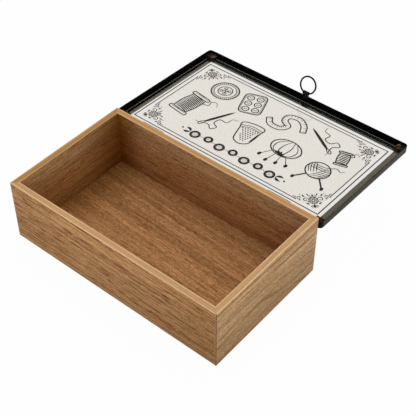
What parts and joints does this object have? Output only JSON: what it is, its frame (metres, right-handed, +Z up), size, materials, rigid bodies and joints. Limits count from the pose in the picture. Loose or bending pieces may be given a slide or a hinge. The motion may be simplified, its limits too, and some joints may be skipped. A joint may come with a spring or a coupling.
{
  "type": "sewing box",
  "caption": "Low rectangular wooden box for sewing things, with a framed glass lid hinged behind the back wall and a wire ring pull at the lid's free edge.",
  "frame": {"origin": "centre of the wooden box's underside, on the surface that it stands on", "axes": "+Z up; +X along the box's length, to the right seen from the front; +Y from the front wall to the hinged back wall, the way the open lid lies"},
  "size_m": [0.2458, 0.2932, 0.075],
  "materials": {
    "wood": "satin",
    "black_frame": "gloss",
    "black_fitting": "satin",
    "glass": "gloss",
    "block": "satin",
    "steel": "satin"
  },
  "bodies": {
    "box": {"front_wall": "wood", "back_wall": "wood", "left_wall": "wood", "right_wall": "wood", "base_panel": "wood", "hinge_box_leaf_left": "black_fitting", "hinge_box_leaf_right": "black_fitting", "hinge_pin_left": "steel", "hinge_pin_right": "steel", "hinge_screws": "steel"},
    "lid": {"front_rail": "black_frame", "back_rail": "black_frame", "left_rail": "black_frame", "right_rail": "black_frame", "glass_pane": "glass", "corner_blocks": "block", "hinge_lid_leaf_left": "black_fitting", "hinge_lid_leaf_right": "black_fitting", "ring_tab": "black_fitting"},
    "ring": {"pull_ring": "black_fitting"}
  },
  "joints": [
    {"name": "lid_hinge", "type": "hinge", "parent": "box", "child": "lid", "pos_m": [0, 0.072, 0.06285], "axis": [1, 0, 0], "range_deg": [0, 182.78]},
    {"name": "ring_swivel", "type": "hinge", "parent": "lid", "child": "ring", "pos_m": [0.0024, 0.21672, 0.05742], "axis": [-1, 0, 0], "range_deg": [-19, 135]}
  ]
}
